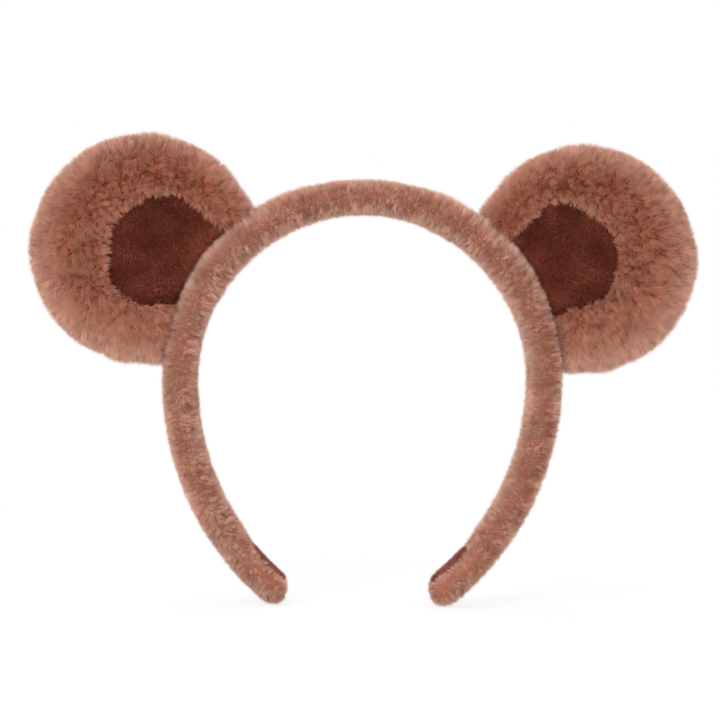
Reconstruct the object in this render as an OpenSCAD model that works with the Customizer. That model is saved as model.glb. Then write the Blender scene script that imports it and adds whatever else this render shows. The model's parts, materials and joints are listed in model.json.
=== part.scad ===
// Animal-ears headband: a sprung hoop inside a padded plush sleeve, with two stuffed
// round ears sewn along their bases to the outside of the hoop.
// The ears flop forwards and backwards on their base stitches.

/* [Band] */
// Inner radius of the crown, where the band sits on the head
head_r = 60; // [52:1:72]
// Inner radius of the two arms below the crown
arm_r = 92; // [80:1:130]
// Angle that each arm sweeps below the crown, to the middle of its round tip
arm_angle = 50; // [40:1:56]
// Width of the finished band, front to back
band_w = 22; // [20:0.5:28]
// Thickness of the finished band, from the head outwards
band_t = 12; // [11:0.5:16]
// Rounding along the edges of the band
band_corner = 5; // [4:0.25:5.25]
// Thickness of the plush sleeve, backing and pile together
cover_t = 3; // [2:0.25:3.5]
// Width of the sprung plastic hoop
core_w = 10; // [6:0.5:12]
// Thickness of the sprung plastic hoop
core_t = 1.8; // [1.2:0.1:2.4]
// Distance from the end of the hoop to the end of the sleeve's padding
core_setback = 2; // [1:0.5:6]

/* [Tip patches] */
// Length of the felt patch inside each tip
tip_patch_l = 17; // [12:1:26]
// Width of the felt patch inside each tip
tip_patch_w = 11; // [6:0.5:12]
// Thickness of the felt
felt_t = 1.2; // [0.8:0.1:1.6]
// Depth of the felt below the surface of the plush
felt_recess = 0.6; // [0.3:0.1:1]

/* [Ears] */
// Angle of each ear from the top of the head
ear_angle = 60; // [45:1:70]
// Radius of the ear disc
ear_r = 42.5; // [34:0.5:48]
// Distance from the outside of the band to the centre of the ear disc
ear_reach = 19.5; // [14:0.5:26]
// Thickness of the stuffed ear at its middle
ear_t = 24; // [20:0.5:30]
// Rounding of the ear's rim, front to back
ear_rim = 8; // [6:0.25:9]
// Thickness of the plush panels of the ear, backing and pile together
ear_plush_t = 4; // [3:0.25:5]
// Radius of the dark panel inside the ear
inner_r = 20.5; // [14:0.5:26]
// Distance from the outside of the band to the centre of the dark panel
inner_reach = 13; // [9:0.5:18]
// Height of the dark panel's centre above the middle line of the ear
inner_rise = 3; // [0:0.5:6]
// Thickness of the dark short-pile panel
inner_t = 1.5; // [1:0.1:2]
// How far an ear flops forwards or backwards, in degrees
ear_flop = 15; // [8:1:18]

/* [Sewing] */
// Thickness of the sewing thread
thread_d = 0.8; // [0.5:0.1:1]
// Length of one base stitch
stitch_l = 3.2; // [2.4:0.2:4]
// Distance from one base stitch to the next
stitch_pitch = 6; // [5:0.5:9]
// Distance from the last base stitch to the corner of the ear
stitch_margin = 6; // [4:0.5:10]
// Width of the furrow along the seam inside the band
furrow_w = 1.6; // [1.2:0.1:2.4]
// Depth of the furrow along the seam inside the band
furrow_d = 0.7; // [0.6:0.05:0.9]
// Free space kept round a piece that moves
run_clear = 0.3; // [0.2:0.05:0.5]

/* [Hidden] */
$fn = 72;

// Band: the outside of the crown, the line along the middle of the band, and the arms' centre
out_r = head_r + band_t;
mid_r = head_r + band_t / 2;
arm_mid_r = arm_r + band_t / 2;
arm_shift = arm_r - head_r;
tip_patch_angle = tip_patch_l / arm_r * 180 / PI;
tip_patch_round = arm_angle - tip_patch_w / 2 / arm_r * 180 / PI;
tip_step = 0.02;

// Padding: the space inside the sleeve
pad_w = band_w - 2 * cover_t;
pad_t = band_t - 2 * cover_t;
pad_corner = band_corner - cover_t;
core_round = arm_angle + (pad_t / 2 - core_setback - core_w / 2) / arm_mid_r * 180 / PI;

// Ear disc: its faces are caps of a large sphere that run smoothly into the round rim
ear_x = out_r + ear_reach;
inner_x = out_r + inner_reach;
ear_h = ear_t / 2;
rim_ring_r = ear_r - ear_rim;
face_drop = (rim_ring_r ^ 2 - (ear_h - ear_rim) ^ 2) / (2 * (ear_h - ear_rim));
face_r = ear_h + face_drop;
face_join = rim_ring_r / norm([rim_ring_r, face_drop]);

// Ear base: it follows the outside of the band and flops about a line at the mean height of its arc
corner_x = (out_r ^ 2 - ear_r ^ 2 + ear_x ^ 2) / (2 * ear_x);
corner_angle = acos(corner_x / out_r);
hinge_drop = (out_r - corner_x) / 2;
base_gap = (run_clear + (ear_h + hinge_drop) * (1 - cos(ear_flop))) / cos(ear_flop);
base_r = out_r + base_gap;
base_round_r = base_r + ear_h;

// Base stitches and the slot that the ear leaves for them
stitch_h = stitch_l / 2 + thread_d / 2;
stitch_span = corner_angle - stitch_margin / out_r * 180 / PI;
stitch_count = 1 + 2 * floor(stitch_span * PI / 180 * out_r / stitch_pitch);
stitch_step = stitch_pitch / out_r * 180 / PI;
slot_half = thread_d / 2 + run_clear + (hinge_drop + stitch_h) * sin(ear_flop);
slot_r = out_r + stitch_h + run_clear;

// Seam round the dark panel: it lies on the panel's own spherical face
inner_face_r = face_r - ear_plush_t + inner_t;
inner_off = norm([inner_x - ear_x, inner_rise]);
inner_turn = atan2(inner_rise, inner_x - ear_x);
inner_seam_drop = sqrt(inner_face_r ^ 2 - inner_off ^ 2 - inner_r ^ 2);
inner_seam_z = inner_seam_drop - face_drop;
inner_seam_tilt = atan(inner_off / inner_seam_drop);

plush_brown = [0.65, 0.45, 0.37];
dark_brown = [0.36, 0.17, 0.13];
thread_brown = [0.45, 0.28, 0.21];
foam_cream = [0.93, 0.88, 0.74];
fibre_white = [0.95, 0.95, 0.93];
hoop_black = [0.12, 0.12, 0.13];
far = 200;

// Shapes are drawn as seen from the front, with +Z towards the viewer, and then stood upright.
module stand_up() rotate([90, 0, 0]) children();

// The left piece is the mirror image of the right one.
module on_side(left) mirror([left ? 1 : 0, 0, 0]) children();

// Sections and paths of the band

// Rounded section of the band: t outwards from the head, w from front to back.
module rounded_section(t, w, r) {
    square([t - 2 * r, w], center = true);
    square([t, w - 2 * r], center = true);
    for (x = [-1, 1], y = [-1, 1])
        translate([x * (t / 2 - r), y * (w / 2 - r)]) circle(r);
}

// Sweeps a section, measured from the arm's centre, along the right arm between two angles.
module arm_arc(from, to)
    translate([-arm_shift, 0]) rotate_extrude(start = -to, angle = to - from) children();

// Sweeps a section, measured from the crown's centre, round the crown.
module crown_arc() rotate_extrude(angle = 180) children();

// Sweeps a section, centred on the band's middle line, along the crown and both arms.
module along_band(arm_end) {
    crown_arc() translate([mid_r, 0]) children();
    for (left = [false, true])
        on_side(left) arm_arc(0, arm_end) translate([arm_mid_r, 0]) children();
}

// Rounds off both tips by turning half of a section about the end of its arm.
module round_tips()
    for (left = [false, true])
        on_side(left)
            translate([-arm_shift, 0]) rotate([0, 0, -arm_angle]) translate([arm_mid_r, 0])
                rotate_extrude()
                    intersection() {
                        children();
                        translate([0, -band_w]) square([band_t, 2 * band_w]);
                    }

// The whole band as one solid of a given section, with round tips a hair smaller than the arms.
module band_form(t, w, r) {
    along_band(arm_angle) rounded_section(t, w, r);
    round_tips() rounded_section(t - 2 * tip_step, w - 2 * tip_step, r - tip_step);
}

// Flat strip bent along the right arm, with an end rounded about the angle to. r is its inner radius.
module arm_strip(r, t, w, from, to) {
    arm_arc(from, to) translate([r, -w / 2]) square([t, w]);
    intersection() {
        arm_arc(from, to + w / r * 180 / PI) translate([r, -w / 2]) square([t, w]);
        translate([-arm_shift, 0]) rotate([0, 0, -to]) translate([r - t, 0])
            rotate([0, 90, 0]) rotate(90) cylinder(d = w - 2 * tip_step, h = 3 * t);
    }
}

// Band pieces

// Sprung plastic hoop with rounded ends.
module hoop() {
    crown_arc() translate([mid_r, 0]) square([core_t, core_w], center = true);
    for (left = [false, true])
        on_side(left) arm_strip(arm_mid_r - core_t / 2, core_t, core_w, 0, core_round);
}

module band_core() color(hoop_black) stand_up() hoop();

module band_padding()
    color(foam_cream) stand_up() difference() {
        band_form(pad_t, pad_w, pad_corner);
        hoop();
    }

// Section of the sewing thread at the foot of the furrow, on the inner face of the band.
module seam_section() translate([furrow_d - band_t / 2, 0]) circle(d = thread_d);

// Section of the furrow, with the thread at its foot.
module furrow_section() {
    translate([-band_t / 2, 0]) square([2 * furrow_d, furrow_w], center = true);
    seam_section();
}

// Felt patch on the inner face of the right tip. depth 0 is the surface of the plush.
module felt_strip(depth, t)
    arm_strip(arm_r + depth, t, tip_patch_w, arm_angle - tip_patch_angle, tip_patch_round);

module band_cover()
    color(plush_brown) stand_up() difference() {
        band_form(band_t, band_w, band_corner);
        band_form(pad_t, pad_w, pad_corner);
        along_band(arm_angle - tip_patch_angle) furrow_section();
        for (left = [false, true])
            on_side(left) felt_strip(-felt_t, felt_recess + 2 * felt_t);
    }

module band_seam_thread()
    color(thread_brown) stand_up() along_band(arm_angle - tip_patch_angle) seam_section();

module tip_patch(left)
    color(dark_brown) stand_up() on_side(left) felt_strip(felt_recess, felt_t);

// Ear pieces, drawn with the ear pointing along +X from the band's centre

module ear_place(left) stand_up() on_side(left) rotate([0, 0, 90 - ear_angle]) children();

// The round ear, grown by a distance or, if that is negative, shrunk.
module ear_disc(grow) {
    join_x = face_join * (face_r + grow);
    translate([ear_x, 0]) rotate_extrude() {
        intersection() {
            translate([0, -face_drop]) circle(face_r + grow, $fn = 360);
            translate([0, face_drop]) circle(face_r + grow, $fn = 360);
            translate([0, -ear_h - grow]) square([join_x, 2 * (ear_h + grow)]);
        }
        translate([rim_ring_r, 0]) circle(ear_rim + grow);
    }
}

// The space outside the band that the ear may fill, drawn in towards its base seam.
module base_space(grow)
    rotate_extrude() {
        translate([base_round_r, 0]) circle(ear_h + grow);
        translate([base_round_r, -ear_h - grow]) square([far, 2 * (ear_h + grow)]);
    }

module ear_cushion(grow)
    intersection() {
        ear_disc(grow);
        base_space(grow);
    }

module front_half() translate([0, -far / 2, 0]) cube([far, far, far]);

module back_half() translate([0, -far / 2, -far]) cube([far, far, far]);

module inner_outline() translate([inner_x, inner_rise, 0]) cylinder(r = inner_r, h = far);

// Slot along the base seam, in which the base stitches stand.
module stitch_slot()
    rotate_extrude() translate([head_r, -slot_half]) square([slot_r - head_r, 2 * slot_half]);

module rim_thread_ring()
    difference() {
        translate([ear_x, 0, 0]) rotate_extrude()
            translate([ear_r - ear_plush_t + thread_d, 0]) circle(d = thread_d);
        cylinder(r = base_r + ear_plush_t / 2, h = ear_t, center = true);
    }

module inner_thread_ring()
    difference() {
        translate([inner_x, inner_rise, inner_seam_z]) rotate(inner_turn) rotate([0, inner_seam_tilt, 0])
            rotate_extrude() translate([inner_r, 0]) circle(d = thread_d);
        cylinder(r = base_round_r, h = 2 * ear_t, center = true);
    }

module ear_front_panel(left)
    color(plush_brown) ear_place(left) difference() {
        intersection() {
            ear_cushion(0);
            front_half();
        }
        ear_cushion(-ear_plush_t);
        inner_outline();
        stitch_slot();
        rim_thread_ring();
        inner_thread_ring();
    }

module ear_inner_panel(left)
    color(dark_brown) ear_place(left) difference() {
        intersection() {
            ear_cushion(inner_t - ear_plush_t);
            front_half();
            inner_outline();
        }
        ear_cushion(-ear_plush_t);
        inner_thread_ring();
    }

module ear_back_panel(left)
    color(plush_brown) ear_place(left) difference() {
        intersection() {
            ear_cushion(0);
            back_half();
        }
        ear_cushion(-ear_plush_t);
        stitch_slot();
        rim_thread_ring();
    }

module ear_filling(left) color(fibre_white) ear_place(left) ear_cushion(-ear_plush_t);

module ear_rim_thread(left) color(thread_brown) ear_place(left) rim_thread_ring();

module ear_inner_thread(left) color(thread_brown) ear_place(left) inner_thread_ring();

// Row of thread loops that holds the base of an ear to the outside of the band.
module ear_base_stitches(left)
    color(thread_brown) ear_place(left) difference() {
        for (i = [0 : stitch_count - 1])
            rotate([0, 0, (i - (stitch_count - 1) / 2) * stitch_step]) translate([out_r, 0])
                rotate_extrude() translate([stitch_l / 2, 0]) circle(d = thread_d);
        cylinder(r = out_r, h = band_w, center = true, $fn = 360);
    }

band_core();
band_padding();
band_cover();
band_seam_thread();
tip_patch(true);  // left_tip_patch
tip_patch(false);  // right_tip_patch
ear_base_stitches(true);  // left_ear_base_stitches
ear_base_stitches(false);  // right_ear_base_stitches
ear_front_panel(true);  // left_ear_front_panel
ear_inner_panel(true);  // left_ear_inner_panel
ear_back_panel(true);  // left_ear_back_panel
ear_filling(true);  // left_ear_filling
ear_rim_thread(true);  // left_ear_rim_thread
ear_inner_thread(true);  // left_ear_inner_thread
ear_front_panel(false);  // right_ear_front_panel
ear_inner_panel(false);  // right_ear_inner_panel
ear_back_panel(false);  // right_ear_back_panel
ear_filling(false);  // right_ear_filling
ear_rim_thread(false);  // right_ear_rim_thread
ear_inner_thread(false);  // right_ear_inner_thread
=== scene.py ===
"""Looks of a plush animal-ears headband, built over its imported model.

The band and the ears are sewn plush: a knitted backing, swelled over its padding by a cloth
simulation, from which a pile of bent strands grows. Sizes are in metres, in the model's frame:
+Z up, +X to the right, and the front of the ears towards -Y.
"""

import json
import logging
import math
from dataclasses import dataclass, replace
from enum import Enum
from typing import Any, Callable

import bmesh
import bpy
import numpy as np
from bpy.types import Material, Mesh, Object
from mathutils import Matrix, Vector

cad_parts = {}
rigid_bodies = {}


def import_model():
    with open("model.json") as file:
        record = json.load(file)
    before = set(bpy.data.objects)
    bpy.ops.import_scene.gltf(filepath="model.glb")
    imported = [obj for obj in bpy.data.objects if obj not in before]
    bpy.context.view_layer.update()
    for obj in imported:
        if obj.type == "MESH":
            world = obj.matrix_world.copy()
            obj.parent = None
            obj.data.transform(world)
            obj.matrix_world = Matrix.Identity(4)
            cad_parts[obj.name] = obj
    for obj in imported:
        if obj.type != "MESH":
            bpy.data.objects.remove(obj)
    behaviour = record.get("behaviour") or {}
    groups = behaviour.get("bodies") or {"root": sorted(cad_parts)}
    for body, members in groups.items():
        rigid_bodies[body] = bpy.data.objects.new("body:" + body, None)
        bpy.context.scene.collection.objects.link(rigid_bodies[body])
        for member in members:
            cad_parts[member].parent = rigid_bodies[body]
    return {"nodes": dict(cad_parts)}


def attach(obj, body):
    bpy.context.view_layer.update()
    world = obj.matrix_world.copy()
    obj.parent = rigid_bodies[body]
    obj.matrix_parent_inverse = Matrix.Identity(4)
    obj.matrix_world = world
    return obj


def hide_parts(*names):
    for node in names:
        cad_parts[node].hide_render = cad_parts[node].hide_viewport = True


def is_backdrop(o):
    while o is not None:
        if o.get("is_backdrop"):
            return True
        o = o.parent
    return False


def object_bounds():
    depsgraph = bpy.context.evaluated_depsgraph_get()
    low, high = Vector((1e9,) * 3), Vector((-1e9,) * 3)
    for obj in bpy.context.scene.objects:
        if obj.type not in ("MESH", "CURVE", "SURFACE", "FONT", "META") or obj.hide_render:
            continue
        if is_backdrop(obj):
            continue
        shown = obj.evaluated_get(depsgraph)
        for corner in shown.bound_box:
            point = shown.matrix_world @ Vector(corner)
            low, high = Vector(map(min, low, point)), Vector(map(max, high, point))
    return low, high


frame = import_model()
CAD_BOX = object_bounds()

LOG = logging.getLogger("headband")
MM = 0.001
TINY = 1e-6
LEAST = 1e-9
SWELL_STEPS = 20
SWELL_QUALITY = 5

Colour = tuple[float, float, float]
Span = tuple[float, float]
Array = np.ndarray


def srgb(red: int, green: int, blue: int) -> Colour:
    """A colour as it shows on a screen, 0 to 255, made linear.

    Args:
        red, green, blue: the colour's parts.

    Returns:
        The linear colour, 0 to 1.
    """
    parts = (v / 255 for v in (red, green, blue))
    return tuple(v / 12.92 if v <= 0.04045 else ((v + 0.055) / 1.055) ** 2.4 for v in parts)


def smooth_step(values: Array, low: float, high: float) -> Array:
    """Rises smoothly from 0 at low to 1 at high.

    Args:
        values: where to evaluate the step.
        low, high: the ends of the rise.

    Returns:
        The step's height at each value.
    """
    t = np.clip((values - low) / (high - low), 0, 1)
    return t * t * (3 - 2 * t)


class Side(Enum):
    """Side of the headband, as seen from the front. The value is the sign of X."""

    LEFT = -1
    RIGHT = 1

    @property
    def word(self) -> str:
        """The side's name as the model's nodes spell it."""
        return self.name.lower()


class Grain(Enum):
    """Kinds of surface below and beside the pile."""

    KNIT = "knit"
    FELT = "felt"
    FOAM = "foam"
    FIBRE = "fibre"
    TWIST = "twist"
    MOULDED = "moulded"


BAND_SEED = 40
EAR_SEEDS = {Side.LEFT: 10, Side.RIGHT: 20}
FUZZ_SEEDS = {Side.LEFT: 50, Side.RIGHT: 51}


class Wire:
    """An output socket, with arithmetic that adds Math nodes."""

    def __init__(self, sheet: "NodeSheet", socket: bpy.types.NodeSocket) -> None:
        """Keeps the socket and the sheet that it is on."""
        self.sheet = sheet
        self.socket = socket

    def out(self, key: str | int) -> "Wire":
        """Another output of the same node."""
        return Wire(self.sheet, self.sheet.pick(self.socket.node.outputs, key))

    def math(self, operation: str, first: Any, second: Any = 0.0) -> "Wire":
        """The result of a Math node on two terms."""
        return self.sheet.add("ShaderNodeMath", {"operation": operation}, {0: first, 1: second})

    def __add__(self, other: Any) -> "Wire":
        """Sum with a number or another wire."""
        return self.math("ADD", self, other)

    __radd__ = __add__

    def __sub__(self, other: Any) -> "Wire":
        """Difference to a number or another wire."""
        return self.math("SUBTRACT", self, other)

    def __rsub__(self, other: Any) -> "Wire":
        """A number less this wire."""
        return self.math("SUBTRACT", other, self)

    def __mul__(self, other: Any) -> "Wire":
        """Product with a number or another wire."""
        return self.math("MULTIPLY", self, other)

    __rmul__ = __mul__

    def __truediv__(self, other: Any) -> "Wire":
        """Quotient by a number or another wire."""
        return self.math("DIVIDE", self, other)

    def __rtruediv__(self, other: Any) -> "Wire":
        """A number divided by this wire."""
        return self.math("DIVIDE", other, self)

    def __pow__(self, other: Any) -> "Wire":
        """This wire to the power of a number or another wire."""
        return self.math("POWER", self, other)


class NodeSheet:
    """A node tree that is filled from expressions."""

    def __init__(self, tree: bpy.types.NodeTree) -> None:
        """Starts from an existing tree."""
        self.tree = tree

    @staticmethod
    def pick(sockets: Any, key: str | int) -> bpy.types.NodeSocket:
        """Finds a socket.

        Args:
            sockets: a node's inputs or outputs.
            key: the socket's index, or its name.

        Returns:
            The socket, the first one in use if it goes by name.
        """
        if isinstance(key, int):
            return sockets[key]
        return next(s for s in sockets if s.name == key and s.enabled)

    def feed(self, socket: bpy.types.NodeSocket, value: Any) -> None:
        """Links a wire to an input, or sets the input's own value.

        Args:
            socket: the input.
            value: a wire, a number, a colour or a vector.
        """
        if isinstance(value, Wire):
            self.tree.links.new(value.socket, socket)
        elif socket.type == "RGBA" and len(value) == 3:
            socket.default_value = (*value, 1.0)
        else:
            socket.default_value = value

    def add(
        self,
        kind: str,
        settings: dict[str, Any] | None = None,
        inputs: dict[str | int, Any] | None = None,
        output: str | int = 0,
    ) -> Wire:
        """Adds a node.

        Args:
            kind: the node's type.
            settings: its properties, set first.
            inputs: values or wires for its inputs, by name or index.
            output: the output to return.

        Returns:
            The wire of that output.
        """
        node = self.tree.nodes.new(kind)
        for name, value in (settings or {}).items():
            setattr(node, name, value)
        for key, value in (inputs or {}).items():
            self.feed(self.pick(node.inputs, key), value)
        return Wire(self, self.pick(node.outputs, output))

    def vector(self, operation: str, *terms: Any) -> Wire:
        """The result of a Vector Math node."""
        return self.add("ShaderNodeVectorMath", {"operation": operation}, dict(enumerate(terms)))

    def scaled(self, vector: Wire, factor: Any) -> Wire:
        """A vector times a value."""
        inputs = {"Vector": vector, "Scale": factor}
        return self.add("ShaderNodeVectorMath", {"operation": "SCALE"}, inputs)

    def blend(self, factor: Any, first: Any, second: Any, kind: str = "MIX") -> Wire:
        """Mixes two colours.

        Args:
            factor: the share of the second colour.
            first, second: the colours.
            kind: how they are mixed.

        Returns:
            The mixed colour.
        """
        settings = {"data_type": "RGBA", "blend_type": kind}
        inputs = {"Factor": factor, "A": first, "B": second}
        return self.add("ShaderNodeMix", settings, inputs, "Result")

    def attribute(self, name: str) -> Wire:
        """A mesh attribute's value, in a material."""
        return self.add("ShaderNodeAttribute", {"attribute_name": name}, {}, "Fac")

    def place(self) -> Wire:
        """The point's place on its object, in a material."""
        return self.add("ShaderNodeTexCoord", {}, {}, "Object")

    def noise(self, place: Wire, size: float, detail: float = 2.0) -> Wire:
        """Cloudy noise with features of about a given size."""
        inputs = {"Vector": place, "Scale": 1 / size, "Detail": detail}
        return self.add("ShaderNodeTexNoise", {}, inputs, "Fac")


def new_material(name: str) -> tuple[Material, NodeSheet, bpy.types.Node]:
    """Makes an empty material with one shader.

    Args:
        name: the material's name.

    Returns:
        The material, its sheet and its Principled node.
    """
    material = bpy.data.materials.new(name)
    material.use_nodes = True
    sheet = NodeSheet(material.node_tree)
    shader = material.node_tree.nodes["Principled BSDF"]
    return material, sheet, shader


@dataclass(frozen=True)
class PileFinish:
    """Colours of a brushed pile, and how they vary along its strands and between its tufts.

    A strand runs from root to tip. Some tufts take on the flush, and places marked pale take on
    the paler colour, which paints sheen and rim light along the rims and edges of the pile.
    """

    name: str
    root: Colour
    tip: Colour
    flush: Colour
    worn: Colour = (1.0, 1.0, 1.0)
    mottle: float = 0.25
    grain: float = 1.0
    contrast: float = 1.2
    cloud_size: float = 9 * MM
    tuft_flush: float = 0.45
    cloud_flush: float = 0.35
    strand_shade: float = 0.2
    tuft_shade: float = 0.4
    green_cast: float = 1.3
    blue_cast: float = 1.5
    root_shade: float = 0.5
    roughness: float = 0.9
    gloss: float = 0.08

    def material(self) -> Material:
        """Makes the pile's material.

        Returns:
            The material, shaded along each strand and varied between tufts.
        """
        material, sheet, shader = new_material(self.name)
        along = sheet.attribute("along")
        tint = sheet.attribute("tint")
        tuft = sheet.attribute("tuft")
        strand = sheet.blend(along**self.contrast, self.root, self.tip)
        cloud = sheet.noise(sheet.place(), self.cloud_size)
        warm = sheet.blend(tuft * self.tuft_flush + cloud * self.cloud_flush, strand, self.flush)
        # Paler where pale is marked: painted sheen and rim light on rims and edges, a paler tone
        # elsewhere.
        worn = sheet.blend(sheet.attribute("pale"), warm, self.worn)
        even = (self.strand_shade + self.tuft_shade) / 2
        streak = tint * self.strand_shade + tuft * self.tuft_shade - even
        shade = streak * self.grain + 1 + (cloud - 0.5) * (2 * self.mottle)
        parts = {"Red": shade, "Green": shade**self.green_cast, "Blue": shade**self.blue_cast}
        cast = sheet.add("ShaderNodeCombineColor", {}, parts)
        depth = along * (1 - self.root_shade) + self.root_shade
        sheet.feed(shader.inputs["Base Color"], sheet.blend(depth, worn, cast, "MULTIPLY"))
        shader.inputs["Roughness"].default_value = self.roughness
        shader.inputs["Specular IOR Level"].default_value = self.gloss
        return material


@dataclass(frozen=True)
class Rib:
    """Ribs of a knit or a twisted thread: their density, waviness and share of the grain's height."""

    density: float
    wave: float
    share: float


RIBS = {Grain.KNIT: Rib(0.3, 2.5, 0.7), Grain.TWIST: Rib(0.5, 0.0, 0.8)}


@dataclass(frozen=True)
class GrainFinish:
    """Colour and grain of a surface without pile."""

    name: str
    grain: Grain
    dark: Colour
    light: Colour
    scale: float
    roughness: float
    relief: float
    grain_share: float = 0.75
    cloud_scale: float = 12.0
    cloud_rough: float = 0.1
    bump: float = 0.6

    def pattern(self, sheet: NodeSheet, place: Wire) -> Wire:
        """The grain's height, 0 to 1.

        Args:
            sheet: the material's sheet.
            place: where on the object.

        Returns:
            The height as a wire.
        """
        rib = RIBS.get(self.grain)
        if rib:
            run = {"Vector": place, "Scale": rib.density / self.scale}
            wave = {"Distortion": rib.wave, "Detail": 1.0}
            slanted = {"bands_direction": "DIAGONAL"}
            ribs = sheet.add("ShaderNodeTexWave", slanted, run | wave, "Fac")
            return ribs * rib.share + sheet.noise(place, self.scale) * (1 - rib.share)
        if self.grain is Grain.FOAM:
            cells = {"Vector": place, "Scale": 1 / self.scale}
            return sheet.add("ShaderNodeTexVoronoi", {}, cells, "Distance")
        return sheet.noise(place, self.scale, 1.0 if self.grain is Grain.MOULDED else 6.0)

    def material(self) -> Material:
        """Makes the surface's material.

        Returns:
            The material, with its grain in colour, roughness and relief.
        """
        material, sheet, shader = new_material(self.name)
        place = sheet.place()
        height = self.pattern(sheet, place)
        cloud = sheet.noise(place, self.scale * self.cloud_scale)
        light = height * self.grain_share + cloud * (1 - self.grain_share)
        sheet.feed(shader.inputs["Base Color"], sheet.blend(light, self.dark, self.light))
        sheet.feed(shader.inputs["Roughness"], self.roughness + (cloud - 0.5) * self.cloud_rough)
        inputs = {"Strength": self.bump, "Distance": self.relief, "Height": height}
        sheet.feed(shader.inputs["Normal"], sheet.add("ShaderNodeBump", {}, inputs))
        return material


# The fourth colour is the paler colour of places marked pale, in places painted sheen and highlight.
EAR_PLUSH = PileFinish(
    "ear_plush", srgb(220, 112, 65), srgb(228, 188, 161), srgb(214, 142, 112), srgb(243, 203, 182),
    mottle=0.15, contrast=1.5,
)
BAND_PLUSH = PileFinish(
    "band_plush", srgb(218, 153, 123), srgb(245, 216, 198), srgb(236, 190, 168), srgb(255, 217, 197),
    mottle=0.35, grain=0.6,
)
DARK_PILE = PileFinish(
    "dark_inner_pile", srgb(142, 66, 48), srgb(174, 98, 77), srgb(160, 82, 62), mottle=0.9, grain=0.4
)
FELT_FUZZ = PileFinish(
    "felt_fuzz", srgb(150, 78, 62), srgb(206, 140, 122), srgb(184, 108, 90), mottle=0.3, grain=0.5
)
PLUSH_BACKING = GrainFinish(
    "plush_backing", Grain.KNIT, srgb(195, 94, 57), srgb(216, 120, 84), 0.8 * MM, 0.95, 0.2 * MM
)
BAND_BACKING = GrainFinish(
    "band_backing", Grain.KNIT, srgb(187, 122, 96), srgb(212, 148, 122), 0.8 * MM, 0.95, 0.2 * MM
)
DARK_BACKING = GrainFinish(
    "dark_backing", Grain.KNIT, srgb(85, 34, 24), srgb(115, 51, 37), 0.6 * MM, 0.95, 0.15 * MM
)
# Felt on the inner face of each tip: its own maroon, darkened to paint the shadow of the slit by the
# plush.
FELT_AND_SLIT_SHADOW = GrainFinish(
    "dark_felt", Grain.FELT, srgb(88, 36, 28), srgb(146, 71, 55), 0.7 * MM, 0.95, 0.3 * MM
)
PLUSH_THREAD = GrainFinish(
    "plush_thread", Grain.TWIST, srgb(110, 66, 48), srgb(160, 108, 84), 0.5 * MM, 0.6, 0.1 * MM
)
DARK_THREAD = GrainFinish(
    "dark_thread", Grain.TWIST, srgb(60, 26, 18), srgb(96, 48, 34), 0.5 * MM, 0.6, 0.1 * MM
)
PAD_FOAM = GrainFinish(
    "pad_foam", Grain.FOAM, srgb(214, 200, 164), srgb(242, 232, 202), 1.0 * MM, 0.95, 0.4 * MM
)
EAR_FIBRE = GrainFinish(
    "ear_fibre", Grain.FIBRE, srgb(220, 220, 214), srgb(250, 250, 246), 3.0 * MM, 0.9, 1.0 * MM
)
HOOP_PLASTIC = GrainFinish(
    "hoop_plastic", Grain.MOULDED, srgb(26, 26, 28), srgb(40, 40, 43), 0.6 * MM, 0.45, 0.05 * MM
)


def new_piece(name: str, mesh: Mesh) -> Object:
    """Puts a mesh into the scene as an object at the origin.

    Args:
        name: the object's name.
        mesh: its mesh.

    Returns:
        The object.
    """
    mesh.name = name
    piece = bpy.data.objects.new(name, mesh)
    bpy.context.scene.collection.objects.link(piece)
    return piece


def remove(piece: Object) -> None:
    """Deletes a helper object with its mesh.

    Args:
        piece: the object.
    """
    mesh = piece.data
    bpy.data.objects.remove(piece)
    bpy.data.meshes.remove(mesh)


def settle(piece: Object, body: str, slot: str, *nodes: str, fill: float | None = None) -> Object:
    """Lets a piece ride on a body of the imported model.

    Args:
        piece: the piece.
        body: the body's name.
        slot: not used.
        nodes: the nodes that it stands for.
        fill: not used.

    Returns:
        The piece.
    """
    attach(piece, body)
    if nodes:
        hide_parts(*nodes)
    return piece


def rows_of(items: Any, key: str) -> Array:
    """Reads a vector of each item of a mesh.

    Args:
        items: the mesh's points, point normals or faces.
        key: the vector's name.

    Returns:
        Rows of X, Y and Z.
    """
    flat = np.empty(len(items) * 3, np.float32)
    items.foreach_get(key, flat)
    return flat.reshape(-1, 3).astype(float)


def points_of(mesh: Mesh) -> Array:
    """A mesh's points."""
    return rows_of(mesh.vertices, "co")


def normals_of(mesh: Mesh) -> Array:
    """A mesh's point normals."""
    return rows_of(mesh.vertex_normals, "vector")


def move_points(mesh: Mesh, points: Array) -> None:
    """Gives a mesh's points new places."""
    mesh.vertices.foreach_set("co", points.astype(np.float32).ravel())
    mesh.update()


def store(mesh: Mesh, name: str, values: Array) -> None:
    """Writes a value or a vector for each point of a mesh.

    Args:
        mesh: the mesh.
        name: the attribute's name.
        values: one number or three for each point.
    """
    kind, key = ("FLOAT_VECTOR", "vector") if values.ndim == 2 else ("FLOAT", "value")
    layer = mesh.attributes.get(name) or mesh.attributes.new(name, kind, "POINT")
    layer.data.foreach_set(key, values.astype(np.float32).ravel())


def lay(cloth: Object, comb: Array, **shares: Any) -> None:
    """Writes how a pile lies on a cloth.

    Args:
        cloth: the cloth.
        comb: the way the pile leans at each point.
        shares: as pile its length, as thick its density, as pale its paler tone and painted sheen.
    """
    store(cloth.data, "comb", comb)
    for name, share in ({"pile": 1.0, "thick": 1.0} | shares).items():
        store(cloth.data, name, np.broadcast_to(share, len(comb)))


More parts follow.
